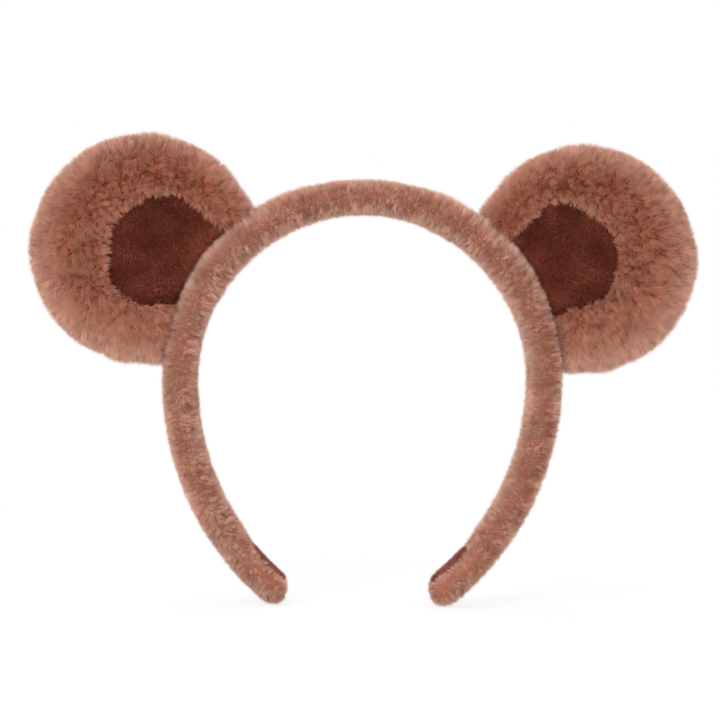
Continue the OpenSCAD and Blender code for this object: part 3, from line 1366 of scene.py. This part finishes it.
@dataclass
class Ear:
    """A stuffed ear: its filling, its plush front and back, and its dark inner panel.

    A span is where a change starts and ends. A ring is counted from the panel's edge to the rim, or
    on the back from the middle to the rim. Leans, lengths and paleness of the pile are shares, and
    low is said of the lower part of the ear.
    """

    wardrobe: Wardrobe
    side: Side
    edge: PanelEdge
    tilt: float = math.radians(60)
    reach: float = 91.5 * MM
    rim_r: float = 38.5 * MM
    panel_reach: float = 85 * MM
    panel_rise: float = 3 * MM
    panel_sink: float = 1.5 * MM
    panel_hold: Span = (-1 * MM, 2 * MM)
    rim_hold: Span = (1 * MM, 3 * MM)
    voxel: float = 3 * MM
    slack: float = 0.6 * MM
    pressure: float = 8.0
    spare: float = 0.08
    swell_cap: float = 3.0 * MM
    cloth_thick: float = 0.7 * MM
    fill: float = 0.8
    base: Span = (77 * MM, 88 * MM)
    base_drop: float = 4.5 * MM
    lump_waves: tuple[float, float, float] = (420.0, 350.0, 390.0)
    lump_height: float = 0.4 * MM
    fibre_depth: float = 1.5 * MM
    rim_draw: float = 0.95
    inner_draw: float = 1.06
    inner_back: float = 2.8 * MM
    low_depth: float = 25 * MM
    front_lean: float = 0.8
    front_turn: float = 0.35
    front_droop: float = 0.12
    low_droop: float = 0.3
    edge_length: float = 0.78
    edge_ring: Span = (0.0, 0.4)
    low_length: float = 0.1
    rim_ring: Span = (0.5, 1.0)
    rim_pale: float = 0.6
    inner_ring: Span = (0.05, 0.3)
    inner_pale: float = 0.15
    low_pale: float = 0.04
    back_ring: Span = (0.5, 1.0)
    back_lean: float = 0.4
    back_droop: float = 0.3
    back_pale: float = 0.2
    back_rim_pale: float = 0.4
    panel_low: Span = (72 * MM, 78 * MM)
    panel_lean: float = 0.2
    panel_droop: float = 0.3
    panel_longer: float = 0.5
    front_pile: Pile = Pile(
        EAR_PLUSH, 19.5, 4.3 * MM, 0.15 * MM, spread=0.15, jitter=0.36, tuft_size=1.25 * MM,
        tuft_pull=0.65, tuft_swing=0.5, swirl_size=8 * MM, swirl=0.5,
    )
    back_pile: Pile = replace(front_pile, density=12.0, width=0.19 * MM)
    panel_pile: Pile = Pile(
        DARK_PILE, 16.0, 1.7 * MM, 0.16 * MM, jitter=0.3, tuft_size=1.0 * MM, tuft_pull=0.3,
        tuft_swing=0.2,
    )

    @property
    def name(self) -> str:
        """The ear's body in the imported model."""
        return f"{self.side.word}_ear"

    @property
    def outwards(self) -> Array:
        """Direction from the head to the ear."""
        return np.array([self.side.value * math.sin(self.tilt), 0, math.cos(self.tilt)])

    @property
    def upwards(self) -> Array:
        """Direction along the ear's base, towards the top of the head."""
        return np.array([-self.side.value * math.cos(self.tilt), 0, math.sin(self.tilt)])

    def flat(self, points: Array) -> tuple[Array, Array]:
        """Places of points on the ear's plane: outwards from the head, and along the base."""
        return points @ self.outwards, points @ self.upwards

    def from_panel(self, points: Array) -> tuple[Array, Array]:
        """Places of points from the middle of the panel: outwards, and along the base."""
        out, up = self.flat(points)
        return out - self.panel_reach, up - self.panel_rise

    def panel_edge(self, points: Array) -> tuple[Array, Array]:
        """How far points lie from the middle of the panel, and its edge in their direction."""
        out, up = self.from_panel(points)
        return np.hypot(out, up), self.edge.reach(np.arctan2(up, out))

    def cushion(self) -> Object:
        """Makes the ear's closed backing.

        Returns:
            The backing, swelled over its filling and held at the rim and the dark panel.
        """
        mesh = frame["nodes"][f"{self.name}_filling"].data.copy()
        edit(mesh, lambda work: bmesh.ops.remove_doubles(work, verts=work.verts, dist=TINY))
        cushion = new_piece(f"{self.name}_cushion", mesh)
        remesh = cushion.modifiers.new("even", "REMESH")
        remesh.mode = "VOXEL"
        remesh.voxel_size = self.voxel
        bake_modifiers(cushion)
        points = points_of(cushion.data)
        far, edge = self.panel_edge(points)
        panel = smooth_step(edge - far, *self.panel_hold) * (points[:, 1] < 0)
        rim = 1 - smooth_step(np.abs(points[:, 1]), *self.rim_hold)
        sink = np.where(panel > 0, self.panel_sink * panel, self.slack * (1 - rim))
        points -= normals_of(cushion.data) * sink[:, None]
        from_head = np.hypot(points[:, 0], points[:, 2])
        near = 1 - smooth_step(from_head, *self.base)
        points[:, (0, 2)] *= (1 - self.base_drop * near / from_head)[:, None]
        move_points(cushion.data, points)
        swell(cushion, self.pressure, self.spare, self.swell_cap, np.maximum(panel, rim))
        subdivide(cushion)
        smooth_shaded(cushion.data)
        return cushion

    def comb_front(self, cloth: Object) -> None:
        """Lays the front pile towards the panel on its inside and towards the rim outside.

        Args:
            cloth: the front's backing.
        """
        points = points_of(cloth.data)
        far, edge = self.panel_edge(points)
        out, up = self.flat(points)
        past, from_middle = far - edge, np.hypot(out - self.reach, up)
        ring = np.clip(past / np.maximum(past + self.rim_r - from_middle, TINY), 0, 1)
        away = np.stack(self.from_panel(points), 1) / far[:, None]
        lean = self.front_lean * (ring - self.front_turn)
        comb = (away[:, :1] * self.outwards + away[:, 1:] * self.upwards) * lean[:, None]
        low = smooth_step(-points[:, 2] + self.reach * self.outwards[2], 0, self.low_depth)
        comb[:, 2] -= self.front_droop + self.low_droop * low
        full = smooth_step(ring, *self.edge_ring)
        rim = smooth_step(ring, *self.rim_ring)
        inner = 1 - smooth_step(ring, *self.inner_ring)
        # pale paints sheen at the rim and along the panel's edge, and makes the lower part a little
        # paler.
        lay(
            cloth,
            comb,
            pile=self.edge_length + (1 - self.edge_length) * full + self.low_length * low,
            pale=self.rim_pale * rim + self.inner_pale * inner + self.low_pale * low,
        )

    def comb_back(self, cloth: Object) -> None:
        """Lays the back pile outwards and down.

        Args:
            cloth: the back's backing.
        """
        out, up = self.flat(points_of(cloth.data))
        away = np.outer((out - self.reach) / self.rim_r, self.outwards)
        away += np.outer(up / self.rim_r, self.upwards)
        comb = self.back_lean * away
        comb[:, 2] -= self.back_droop
        rim = smooth_step(np.linalg.norm(away, axis=1), *self.back_ring)
        # pale makes the whole back a little paler and paints sheen at its rim.
        lay(cloth, comb, pale=self.back_pale + self.back_rim_pale * rim)

    def comb_panel(self, cloth: Object) -> None:
        """Lays the short dark pile, longer where it runs down to the band.

        Args:
            cloth: the panel's backing.
        """
        points = points_of(cloth.data)
        near = 1 - smooth_step(np.hypot(points[:, 0], points[:, 2]), *self.panel_low)
        comb = -self.panel_lean * np.outer(near, self.outwards)
        comb[:, 2] -= self.panel_droop
        lay(cloth, comb, pile=1 + self.panel_longer * near)

    def filling(self, cushion: Object) -> Object:
        """Makes the loose filling.

        Args:
            cushion: the ear's closed backing.

        Returns:
            The filling, a little inside the backing and lumpy.
        """
        filling = new_piece(f"{self.name}_fibre", cushion.data.copy())
        points, normals = points_of(filling.data), normals_of(filling.data)
        wave_x, wave_y, wave_z = (points * self.lump_waves).T
        lumps = np.sin(wave_x) * np.sin(wave_z + 1) * np.sin(wave_y)
        depth = self.fibre_depth + self.lump_height * lumps
        move_points(filling.data, points - normals * depth[:, None])
        return self.wardrobe.dress(filling, EAR_FIBRE)

    def sew(
        self, node: str, finish: GrainFinish, middle: Array, draw: float, back: float = 0.0
    ) -> Object:
        """Draws a seam's thread in to the backing, under the pile.

        Args:
            node: the thread's node, after the ear's name.
            finish: its finish.
            middle: the middle of the seam.
            draw: the seam's radius on the backing, as a share of the node's.
            back: how far it goes back.

        Returns:
            The thread.
        """
        source = frame["nodes"][f"{self.name}_{node}"]
        thread = new_piece(f"{self.name}_{node}_drawn", source.data.copy())
        points = points_of(thread.data)
        points[:, (0, 2)] += (draw - 1) * (points - middle)[:, (0, 2)]
        points[:, 1] += back
        move_points(thread.data, points)
        return self.settle(self.wardrobe.dress(thread, finish), "thread", node)

    def settle(self, piece: Object, slot: str, *nodes: str, fill: float | None = None) -> Object:
        """Lets a piece ride on the ear, for nodes that go by the ear's name."""
        named = (f"{self.name}_{node}" for node in nodes)
        return settle(piece, self.name, slot, *named, fill=fill)

    def build(self) -> list[Object]:
        """Builds and dresses every piece of the ear.

        Returns:
            The pieces.
        """
        cushion = self.cushion()
        pieces = [self.settle(self.filling(cushion), "fibre", "filling", fill=self.fill)]
        subdivide(cushion)
        centres = rows_of(cushion.data.polygons, "center")
        far, edge = self.panel_edge(centres)
        front = centres[:, 1] < 0
        panel = front & (far < edge)
        parts: tuple[tuple[str, Array, Callable, Pile, GrainFinish, str], ...] = (
            ("front", front & ~panel, self.comb_front, self.front_pile, PLUSH_BACKING, "ear_plush"),
            ("back", ~front, self.comb_back, self.back_pile, PLUSH_BACKING, "ear_plush"),
            ("inner", panel, self.comb_panel, self.panel_pile, DARK_BACKING, "inner_pile"),
        )
        for index, (part, keep, comb, pile, backing, slot) in enumerate(parts):
            cloth = part_of(f"{self.name}_{part}_cloth", cushion.data, keep)
            comb(cloth)
            seed = EAR_SEEDS[self.side] + index
            grown = self.wardrobe.grow(f"{self.name}_{part}_pile", cloth, pile, seed)
            thicken(cloth, self.cloth_thick)
            self.wardrobe.dress(cloth, backing)
            pieces.append(self.settle(grown, slot))
            pieces.append(self.settle(cloth, slot, f"{part}_panel", fill=self.fill))
        remove(cushion)
        middle = self.outwards * self.reach
        pieces.append(self.sew("rim_thread", PLUSH_THREAD, middle, self.rim_draw))
        middle = self.outwards * self.panel_reach + self.upwards * self.panel_rise
        draw = (self.inner_draw, self.inner_back)
        pieces.append(self.sew("inner_thread", DARK_THREAD, middle, *draw))
        return pieces


@dataclass(frozen=True)
class Lamp:
    """A square soft lamp: its name, its place, its power in watts and its side."""

    name: str
    place: tuple[float, float, float]
    power: float
    size: float = 0.8

    def hang(self, target: tuple[float, float, float]) -> None:
        """Hangs the lamp.

        Args:
            target: the point that it faces.
        """
        data = bpy.data.lights.new(self.name, "AREA")
        data.size, data.energy = self.size, self.power
        lamp = bpy.data.objects.new(self.name, data)
        lamp.location = self.place
        lamp.rotation_mode = "QUATERNION"
        lamp.rotation_quaternion = (Vector(target) - Vector(self.place)).to_track_quat("-Z", "Y")
        bpy.context.scene.collection.objects.link(lamp)


@dataclass
class Studio:
    """The floor, the soft light and the camera."""

    azimuth: float = math.radians(-3.6)
    elevation: float = math.radians(1.6)
    roll: float = math.radians(1.3)
    distance: float = 0.88
    target: tuple[float, float, float] = (-1.2 * MM, 0.0, 7.2 * MM)
    view_width: float = 260.6 * MM
    sensor: float = 36.0
    clip: Span = (0.01, 20.0)
    room_level: float = 0.53
    white: float = 1.0
    lamps: tuple[Lamp, ...] = (
        Lamp("key", (-0.6, -1.0, 0.6), 7.2),
        Lamp("fill", (0.8, -0.9, 0.1), 3.0),
        Lamp("top", (0.0, 0.4, 1.0), 1.1),
    )
    floor_size: float = 6.0
    floor_gap: float = 0.5 * MM
    floor_grey: float = 0.86
    floor_lift: float = 0.55
    shadow_share: float = 0.3
    shadow_fade: Span = (0.12, 0.4)

    def camera(self) -> None:
        """Sets the camera where the photograph was taken from."""
        data = bpy.data.cameras.new("camera")
        data.sensor_width = self.sensor
        data.lens = self.sensor * self.distance / self.view_width
        data.clip_start, data.clip_end = self.clip
        camera = bpy.data.objects.new("camera", data)
        bpy.context.scene.collection.objects.link(camera)
        level = math.cos(self.elevation)
        side, front = math.sin(self.azimuth) * level, -math.cos(self.azimuth) * level
        back = Vector((side, front, math.sin(self.elevation)))
        turn = (-back).to_track_quat("-Z", "Y").to_matrix().to_4x4()
        turn = turn @ Matrix.Rotation(self.roll, 4, "Z")
        camera.matrix_world = Matrix.Translation(Vector(self.target) + back * self.distance) @ turn
        bpy.context.scene.camera = camera

    @staticmethod
    def seen(sheet: NodeSheet) -> Wire:
        """Tells what the camera sees, straight, mirrored or through glass.

        Args:
            sheet: the sheet of a material or the world.

        Returns:
            1 where it is seen.
        """
        path = sheet.add("ShaderNodeLightPath", {}, {}, "Is Camera Ray")
        both = path.math("MAXIMUM", path, path.out("Is Glossy Ray"))
        return path.math("MAXIMUM", both, path.out("Is Transmission Ray"))

    def world(self) -> None:
        """Lights the room softly and shows it white to the camera."""
        world = bpy.data.worlds.new("room")
        bpy.context.scene.world = world
        world.use_nodes = True
        sheet = NodeSheet(world.node_tree)
        strength = self.seen(sheet) * (self.white - self.room_level) + self.room_level
        background = world.node_tree.nodes["Background"]
        background.inputs["Color"].default_value = (1.0, 1.0, 1.0, 1.0)
        sheet.feed(background.inputs["Strength"], strength)

    def floor(self) -> None:
        """Lays the pale floor just under the tips, white but for the object's shadow."""
        low = CAD_BOX[0][2] - self.floor_gap
        half = self.floor_size / 2
        corners = [(-half, -half, low), (half, -half, low), (half, half, low), (-half, half, low)]
        mesh = bpy.data.meshes.new("floor")
        mesh.from_pydata(corners, [], [(0, 1, 2, 3)])
        floor = new_piece("floor", mesh)
        material, sheet, shader = new_material("floor")
        sheet.feed(shader.inputs["Base Color"], (self.floor_grey,) * 3)
        shader.inputs["Roughness"].default_value = 1.0
        shader.inputs["Specular IOR Level"].default_value = 0.0
        far = sheet.vector("LENGTH", sheet.place()).out("Value")
        near, out = self.shadow_fade
        fade = {"From Min": near, "From Max": out, "To Min": self.shadow_share, "To Max": 0.0}
        shadow = sheet.add(
            "ShaderNodeMapRange", {"interpolation_type": "SMOOTHSTEP"}, {"Value": far, **fade}
        )
        white = {"Color": (1.0, 1.0, 1.0), "Strength": shadow * self.floor_lift + self.white}
        glow = sheet.add("ShaderNodeEmission", {}, white)
        mix = sheet.add("ShaderNodeMixShader", {}, {0: self.seen(sheet) * (1 - shadow), 2: glow})
        sheet.tree.links.new(shader.outputs[0], mix.socket.node.inputs[1])
        sheet.tree.links.new(mix.socket, sheet.tree.nodes["Material Output"].inputs["Surface"])
        mesh.materials.append(material)
        floor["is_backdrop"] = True

    def build(self) -> None:
        """Builds the whole studio."""
        self.camera()
        self.world()
        for lamp in self.lamps:
            lamp.hang(self.target)
        self.floor()
        bpy.context.scene.view_settings.view_transform = "Standard"
        LOG.info("studio set, with %d lamps", len(self.lamps))


def main() -> None:
    """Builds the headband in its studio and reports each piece."""
    logging.basicConfig(level=logging.INFO, format="%(name)s: %(message)s")
    Studio().build()
    wardrobe = Wardrobe()
    ears = (Ear(wardrobe, side, PANEL_EDGES[side]) for side in Side)
    for assembly in (Band(wardrobe), *ears):
        for piece in assembly.build():
            LOG.info("%s has %d faces", piece.name, len(piece.data.polygons))
    boxes = {"cad": CAD_BOX, "visual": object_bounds()}
    {name: [list(corner) for corner in box] for name, box in boxes.items()}


if __name__ == "__main__":
    main()
